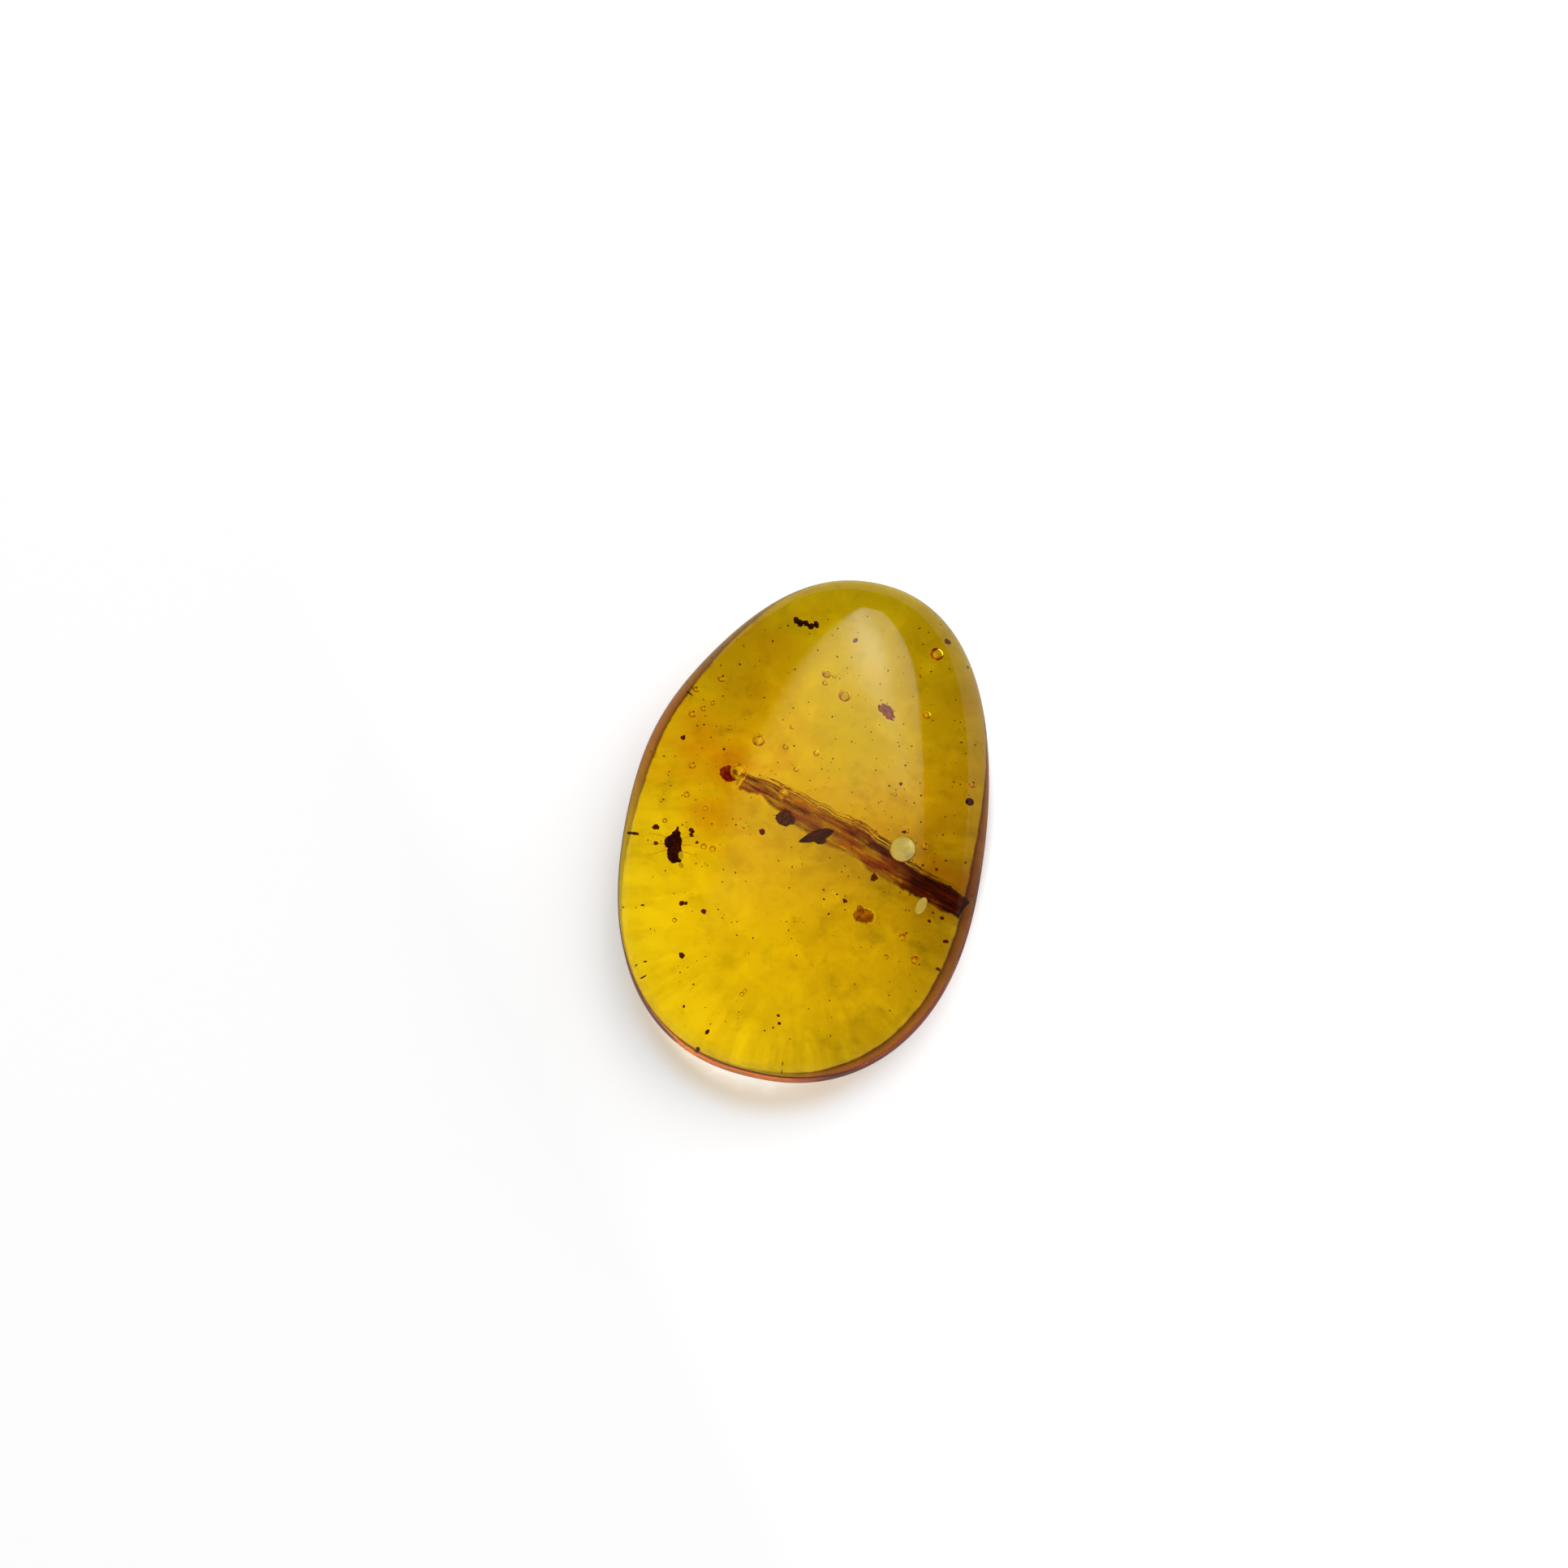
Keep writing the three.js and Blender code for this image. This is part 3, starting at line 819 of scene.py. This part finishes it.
crumbs = {
    "barkCrumb": {"node": "bark_crumb", "half": (0.44, 0.34, 0.2), "rough": (0.16, 2.6), "flakes": 9,
                  "seed": 40, "colours": (tone(0.04, 0.01, 0.003), tone(0.26, 0.075, 0.015)),
                  "grain": (7, 7, 7)},
    "woodCrumb": {"node": "wood_crumb", "half": (0.44, 0.32, 0.22), "rough": (0.11, 2.6), "flakes": 9,
                  "seed": 60, "colours": (tone(0.3, 0.06, 0.01), tone(0.9, 0.3, 0.03)),
                  "grain": (5, 9, 7), "cover": 0.5},
    "darkPellet": {"node": "dark_pellet", "half": (0.19, 0.19, 0.18), "rough": (0.04, 2.6), "flakes": 0,
                   "seed": 80, "colours": (tone(0.012, 0.002, 0.001), tone(0.10, 0.014, 0.003)),
                   "grain": (11, 11, 11)},
}
flakes = {"inset": 0.8, "size": (0.08, 0.17), "shape": Vector((1.5, 1, 0.4)), "lean": 0.6, "rough": (0.05, 7)}


def addFlake(bm, half, seed):
    angle = chance.uniform(0, 2 * pi)
    height = chance.uniform(-0.5, 0.5) * half[2]
    spot = Vector((cos(angle) * half[0], sin(angle) * half[1], height)) * flakes["inset"]
    size = chance.uniform(*flakes["size"])
    turn = turnAbout(chance.uniform(0, pi)) @ turnAbout(chance.uniform(-flakes["lean"], flakes["lean"]), "X")
    roughen(addBall(bm, spot, size * flakes["shape"], turn), spot, *flakes["rough"], seed)


def makeCrumb(name):
    crumb = crumbs[name]
    bm = bmesh.new()
    body = addBall(bm, (0, 0, 0), crumb["half"], fine=5)
    roughen(body, (0, 0, 0), *crumb["rough"], crumb["seed"], layers=6)
    for flake in range(crumb["flakes"]):
        addFlake(bm, crumb["half"], crumb["seed"] + flake)
    seat(bm, crumb["node"])
    makePiece(name, bm, litterFinish(name, crumb), "litter", crumb["node"])


frass = {
    "beads": ((-0.52, 0.08, 0.13), (-0.3, -0.02, 0.15), (-0.06, 0.02, 0.14), (0.18, -0.08, 0.15),
              (0.42, 0.04, 0.13)),        # place and radius
    "beadShape": Vector((1.1, 0.85, 0.9)),
    "beadTurn": 1.3,
    "rough": (0.06, 7),
    "seed": 20,
    "turn": radians(8),
    "colours": (tone(0.012, 0.003, 0.001), tone(0.08, 0.018, 0.005)),
    "grain": (9, 9, 9),
}


def makeFrass():
    bm = bmesh.new()
    for number, (x, y, radius) in enumerate(frass["beads"]):
        turn = turnAbout(frass["beadTurn"] * number)
        bead = addBall(bm, (x, y, 0), radius * frass["beadShape"], turn, fine=4)
        roughen(bead, (x, y, 0), *frass["rough"], frass["seed"] + number)
    bmesh.ops.rotate(bm, matrix=turnAbout(frass["turn"]), verts=bm.verts)
    seat(bm, "frass_chain")
    makePiece("frassChain", bm, litterFinish("frass", frass), "litter", "frass_chain")


leafFlake = {
    "turn": radians(-35),
    "halfLength": 0.42,
    "halfWidth": 0.26,
    "thickness": 0.05,
    "fine": (30, 24),
    "tip": 0.05,
    "torn": 0.45,
    "tornScale": (2.2, 2),
    "curl": 0.14,
    "colours": (tone(0.2, 0.04, 0.006), tone(0.6, 0.16, 0.02)),
    "grain": (4, 12, 6),
}


def makeLeafFlake():
    bm = bmesh.new()
    segments, rows = leafFlake["fine"]
    bmesh.ops.create_grid(bm, x_segments=segments, y_segments=rows, size=1)
    tears = leafFlake["tornScale"]
    for vert in bm.verts:                 # a torn flake that curls up along one side
        along, across = vert.co.x, vert.co.y
        width = leafFlake["halfWidth"] * sqrt(max(leafFlake["tip"], 1 - along * along))
        torn = 1 + leafFlake["torn"] * noise.noise(Vector((along * tears[0], across * tears[1], 5)))
        curl = leafFlake["curl"] * max(0, across) ** 2
        vert.co = Vector((along * leafFlake["halfLength"] * torn, across * width * torn, curl))
    bmesh.ops.solidify(bm, geom=bm.faces[:], thickness=leafFlake["thickness"])
    bmesh.ops.rotate(bm, matrix=turnAbout(leafFlake["turn"]), verts=bm.verts)
    bmesh.ops.recalc_face_normals(bm, faces=bm.faces)
    seat(bm, "leaf_flake")
    makePiece("leafFlake", bm, litterFinish("leafFlake", leafFlake), "litter", "leaf_flake")


drop = {
    "half": (0.42, 0.38, 0.34),
    "rough": (0.13, 2.6, 31),
    "swirl": (3.0, 4, 0.6, 0.6),
    "swirlShows": (0.35, 0.65),
    "colours": (tone(0.9, 0.45, 0.2), tone(0.25, 0.05, 0.01)),
    "absorbs": (0.4, 1.0, 1.0),
    "density": 3600,
    "bend": 1.07,                         # against the resin round it
    "roughness": 0.1,
}


def makeDrop():
    bm = bmesh.new()
    roughen(addBall(bm, (0, 0, 0), drop["half"], fine=5), (0, 0, 0), *drop["rough"])
    seat(bm, "resin_drop")
    finish = newFinish("darkResin")
    swirl = finish.cloud(finish.spot(), *drop["swirl"])
    finish.shade({
        "Base Color": finish.blend(swirl.ease(*drop["swirlShows"]), *drop["colours"]),
        "Transmission Weight": 1, "IOR": drop["bend"], "Roughness": drop["roughness"]})
    finish.absorb(drop["absorbs"], drop["density"])
    makePiece("resinDrop", bm, finish.owner, "dark_resin", "resin_drop")


# grains are pixel, radius in pixels, height; films and painted glints are pixel, half sizes in pixels, turn
# in degrees, height
specks = {
    "grains": ((1168, 790, 4, 3.0), (1054, 789, 4, 4.0), (842, 909, 4, 3.0), (808, 1019, 4, 2.2),
               (852, 1023, 4, 3.0), (852, 1029, 3, 3.0), (784, 1027, 2.4, 1.8), (939, 1025, 4, 3.8),
               (840, 1113, 3, 2.4), (845, 1113, 2.5, 2.4), (867, 1123, 3.5, 2.6), (840, 1177, 4, 2.2),
               (843, 1240, 2.2, 1.6), (861, 1291, 2, 1.2), (959, 1251, 2.5, 2.0), (960, 1261, 2.2, 2.0),
               (1164, 1160, 3, 2.4), (1156, 1194, 2.2, 2.2), (1145, 1135, 2.5, 2.6), (1161, 1131, 2.5, 2.6),
               (1171, 1093, 2.5, 3.2), (1114, 1025, 3, 4.2), (1077, 1081, 4.5, 4.4), (859, 1038, 2.5, 3.0),
               (808, 1039, 3, 2.4), (892, 923, 2.2, 3.6), (1137, 1066, 2.2, 3.8), (1154, 1071, 2, 3.6),
               (1193, 822, 2, 2.4), (1110, 966, 2.5, 4.6), (1015, 1108, 1.6, 2.3), (1041, 1110, 3, 2.3),
               (1021, 1126, 1.8, 2.3), (1031, 1102, 1.4, 2.3)),
    "grainSize": 0.8,
    "shape": (0.7, 1.2),                  # shares of the radius along each axis
    "rough": (0.5, 1.2),                  # depth and waves, in radii
    # the last two films are pale flecks painted as glints beside the beetle
    "filmsAndGlints": ((1112.5, 1046, 15, 15, 0, 5.7), (1135, 1116, 6, 11, -28, 5.2), (909, 963, 2, 5, -20, 3.4),
              (1041, 857, 5, 5, 0, 4.6), (1019, 830, 4, 4, 0, 4.4), (839, 1054, 3, 5, 0, 3.9),
              (839, 1066, 3, 4, 30, 3.9)),
    "filmAndGlintThickness": 0.04,
    "dust": 420,                          # fine dust, scattered through the lower part of the stone
    "dustRadius": 0.05,
    "dustShare": (0.35, 1.0),             # smallest and largest grain
    "dustReach": 0.86,
    "dustHeight": (0.5, 3.4),
    "dark": (tone(0.05, 0.008, 0.002), tone(0.28, 0.045, 0.006)),
    "pale": (tone(1, 0.86, 0.6), tone(0.95, 0.76, 0.45)),
    "paleClear": 0.08,
    "noise": (12, 5, 0.65, 0.2),
    "relief": (0.4, 0.02),
}


def addSpeck(bm, spot, radius, fine):
    half = [radius * chance.uniform(*specks["shape"]) for axis in range(3)]
    verts = addBall(bm, spot, half, turnAbout(chance.uniform(0, pi)), fine)
    depth, waves = specks["rough"]
    roughen(verts, spot, depth * radius, waves / radius, chance.uniform(0, 50))


def addDust(bm):
    angle = chance.uniform(-pi, pi)
    reach = sqrt(chance.random()) * specks["dustReach"]
    rim = outlineRadius(angle) * reach
    low, high = specks["dustHeight"]
    spot = Vector((rim * cos(angle), rim * sin(angle), low + chance.random() * high * (1 - reach ** 4)))
    addSpeck(bm, spot, specks["dustRadius"] * chance.uniform(*specks["dustShare"]), 1)


def makeSpecks():
    bm = bmesh.new()
    pale = bm.verts.layers.float.new("pale")
    for across, down, size, height in specks["grains"]:
        addSpeck(bm, seenAt(across, down, height), specks["grainSize"] * size / photo["pixelsPerMm"], 3)
    for grain in range(specks["dust"]):
        addDust(bm)
    for across, down, wide, long, turn, height in specks["filmsAndGlints"]:
        half = (wide / photo["pixelsPerMm"], long / photo["pixelsPerMm"], specks["filmAndGlintThickness"])
        turned = turnAbout(photo["azimuth"] + radians(turn))
        for vert in addBall(bm, seenAt(across, down, height), half, turned, fine=4):
            vert[pale] = 1
    makePiece("specks", bm, speckFinish(), "litter")


def speckFinish():
    finish = newFinish("specks")
    grain = finish.cloud(finish.spot(), *specks["noise"])
    pale = finish.carried("pale")         # mineral film on the walls of flat bubbles, and pale flecks painted as glints beside the beetle
    dark = finish.blend(grain.ease(*litter["shows"]), *specks["dark"])
    filmAndGlint = finish.blend(grain.ease(*litter["shows"]), *specks["pale"])
    least, added = litter["roughness"]
    finish.seal({
        "Base Color": finish.blend(pale, dark, filmAndGlint), "Alpha": 1 - specks["paleClear"] * pale,
        "Roughness": least + added * grain, "Normal": finish.bump(grain, *specks["relief"])})
    return finish.owner


makeStrip()
makeBeetle()
makeBudScale()
for crumbName in crumbs:
    makeCrumb(crumbName)
makeFrass()
makeLeafFlake()
makeDrop()
makeSpecks()
makePiece("amberStone", stoneMesh, amberFinish(), "amber", "amber_lower", "amber_upper")


# studio: a pale floor with light and shade painted round the stone, one soft light from beyond the narrow
# end, and a dim room

studio = {
    "floorSize": 3.0,
    "floorBelow": 0.05,                   # millimetres under the stone
    "floorRoughness": 0.9,
    "oval": ((0.09, -0.44, 0), (9.03, 12.89)),   # centre and half sizes of the stone's shade
    "ovalEdge": (0.95, 1.03),             # shares of the oval between which the shade ends
    "white": tone(0.85, 0.85, 0.85),
    "black": tone(0, 0, 0),
    "light": tone(1, 1, 1),
    "gathered": (0.24, -0.031, -0.002),   # painted glow under the stone, in place of the light it gathers: middle, per mm right, per mm up
    "nearGlow": (0.24, 0.012, 0.006),     # the same beside the stone, where it paints the stone's shadow, darker to the left and towards the blunt end
    "farGlow": 0.6,
    "farFrom": (11, 60),
    "patchGlow": 0.11,                    # painted highlight: the brightest patch, under the stone's highlight; an edge is place, bend, height of the bend
    "patchLeft": (-3.5, 0.052, 0.5),
    "patchLeftSoft": (-0.3, 1.6),
    "patchRight": (5.03, -0.022, 2.5),
    "patchRightSoft": (-0.3, 0.5),
    "patchFar": (10.8, 10.0),
    "patchNear": (-4.0, 4.0),
    # painted flecks of light on the floor under the stone
    "fleckGlow": 0.1,
    "paintedFlecks": (0.55, 5, 0.6, 1.0),
    "fleckShows": (0.5, 0.7),
    "spill": tone(0.78, 0.66, 0.49),      # painted warm light, in the floor's colour, beside the blunt end
    "spillInner": (0.94, 0.98),
    "spillOuter": (1.12, 0.99),
    "spillBlunt": (-5, -12),
    "spillRight": (6, 0),
    "mirrored": tone(0.20, 0.14, 0.12),   # painted reflection: the stone's gloss sees a dark floor
    "mirroredFar": tone(0.45, 0.40, 0.36),
    "mirroredTurns": (0, 12),
    "panelHeight": 0.6,                   # the panel's size and place are shares of its height
    "panelSize": (1.15, 1.8),
    "panelPlace": (0.225, 0.5),           # to the right of the stone and beyond it
    "panelLeft": (-0.21, 0.745),          # its edges lean in towards the far end
    "panelRight": (1.044, -0.266),
    "panelSoft": 0.08,
    "panelRadiance": 1.8,
    "panelDim": 0.35,                     # it is dimmer at the left and fades out at the near end
    "panelBright": (0, 0.5),
    "panelNear": (0.15, 0.55),
    "streakRadiance": 3.2,                # a brighter streak: place, height of its bend, bend
    "streakPlace": (0.47, 0.42, 2.0),
    "streakWidth": 0.17,
    "streakNear": (0.27, 0.58),
    "streakFar": (0.5, 0.72),
    "streakFade": 0.5,
    "room": 0.02,                         # what the stone's gloss sees of the room
    "sky": 0.95,                          # what lights matt things
    "bounces": {"max_bounces": 24, "glossy_bounces": 12, "transmission_bounces": 16},
}


# light and shade painted on the floor: a glow under the stone, its shadow beside it, a painted highlight and
# flecks, and a brighter floor far off
def floorGlow(finish, across, along, away):
    def sloped(name):
        middle, perRight, perUp = studio[name]
        return middle + perRight * across + perUp * along

    def curved(name):
        place, bend, height = studio[name]
        return place + bend * (along - height) * (along - height)

    paintedHighlight = (across - curved("patchLeft")).ease(*studio["patchLeftSoft"])
    paintedHighlight = paintedHighlight * (curved("patchRight") - across).ease(*studio["patchRightSoft"])
    paintedHighlight = paintedHighlight * along.ease(*studio["patchFar"]) * along.ease(*studio["patchNear"])
    paintedFlecks = finish.cloud(finish.spot(), *studio["paintedFlecks"]).ease(*studio["fleckShows"])
    under = sloped("gathered").most(0) + studio["patchGlow"] * paintedHighlight + studio["fleckGlow"] * paintedFlecks
    glow = under + (sloped("nearGlow") - under) * away.ease(*studio["ovalEdge"])
    return glow + (studio["farGlow"] - glow) * away.ease(*studio["farFrom"])


def floorFinish():
    finish = newFinish("floor")
    across, along = finish.split(finish.spot(photo["azimuth"]))[:2]
    centre, half = studio["oval"]
    oval = finish.spot(centre=centre, stretch=(1 / half[0], 1 / half[1], 0))
    away = finish.add("ShaderNodeVectorMath", {"operation": "LENGTH"}, {0: oval}, "Value")
    glossy = finish.add("ShaderNodeLightPath", output="Is Glossy Ray")
    through = finish.add("ShaderNodeLightPath", output="Is Transmission Ray")
    # painted reflection: rays that the stone mirrors see the floor dark
    mirrored = glossy * (1 - through)
    # painted warm light in the floor's colour beside the blunt end
    spill = away.ease(*studio["spillInner"]) * away.ease(*studio["spillOuter"])
    spill = spill * along.ease(*studio["spillBlunt"]) * across.ease(*studio["spillRight"])
    white = finish.blend(spill, studio["white"], studio["spill"])
    paintedReflection = finish.blend(along.ease(*studio["mirroredTurns"]), studio["mirrored"], studio["mirroredFar"])
    light = finish.blend(floorGlow(finish, across, along, away), studio["black"], studio["light"])
    finish.shade({
        "Base Color": finish.blend(mirrored, white, studio["black"]),
        "Roughness": studio["floorRoughness"], "Specular IOR Level": 0,
        "Emission Color": finish.blend(mirrored, light, paintedReflection), "Emission Strength": 1})
    return finish.owner


def makeFloor():
    bm = bmesh.new()
    bmesh.ops.create_grid(bm, x_segments=1, y_segments=1, size=studio["floorSize"] / 2)
    bmesh.ops.translate(bm, verts=bm.verts, vec=(0, 0, -studio["floorBelow"] * mm))
    mesh = bpy.data.meshes.new("floor")
    bm.to_mesh(mesh)
    bm.free()
    mesh.materials.append(floorFinish())
    floor = bpy.data.objects.new("floor", mesh)
    bpy.context.collection.objects.link(floor)


def makePanel():
    data = bpy.data.lights.new("panel", "AREA")
    data.shape = "RECTANGLE"
    high = studio["panelHeight"]
    data.size, data.size_y = [side * high for side in studio["panelSize"]]
    data.energy = pi * data.size * data.size_y        # unit radiance
    finish = Finish(data)
    across, along = finish.split(finish.add("ShaderNodeNewGeometry", output="Parametric"))[:2]
    leftStart, leftLean = studio["panelLeft"]
    rightStart, rightLean = studio["panelRight"]
    soft = studio["panelSoft"]
    fromLeft = (across - leftLean * along).ease(leftStart, leftStart + soft)
    fromRight = (across - rightLean * along).ease(rightStart, rightStart - soft)
    dim = studio["panelDim"]
    even = (dim + (1 - dim) * across.ease(*studio["panelBright"])) * along.ease(*studio["panelNear"])
    streakAt, bendAt, bend = studio["streakPlace"]
    off = across - streakAt - bend * (bendAt - along).most(0)
    streak = off.maths("ABSOLUTE", off).ease(studio["streakWidth"], 0) * along.ease(*studio["streakNear"])
    streak = streak * (1 - studio["streakFade"] * along.ease(*studio["streakFar"]))
    radiance = studio["panelRadiance"] * even + studio["streakRadiance"] * streak
    finish.shade({"Strength": fromLeft * fromRight * radiance}, "Emission")
    panel = bpy.data.objects.new("panel", data)
    bpy.context.collection.objects.link(panel)
    toRight, beyond = studio["panelPlace"]
    panel.location = (right * toRight + inward * beyond + Vector((0, 0, 1))) * high
    panel.rotation_euler = (0, 0, photo["azimuth"])
    panel.visible_camera = False


def makeRoom():
    world = bpy.data.worlds.new("room")
    bpy.context.scene.world = world
    finish = Finish(world)
    seen = finish.add("ShaderNodeLightPath", output="Is Camera Ray")
    through = finish.add("ShaderNodeLightPath", output="Is Transmission Ray")
    scattered = finish.add("ShaderNodeLightPath", output="Diffuse Depth").ease(0, 1)
    bright = seen.most(through * (1 - scattered)) + studio["sky"] * scattered
    finish.shade({"Color": studio["light"], "Strength": studio["room"] + bright}, "Background")
    bpy.context.scene.view_settings.view_transform = "Standard"
    for name, count in studio["bounces"].items():     # light is thrown to and fro inside the stone
        setattr(bpy.context.scene.cycles, name, count)


makeFloor()
makePanel()
makeRoom()
print("studio lit")
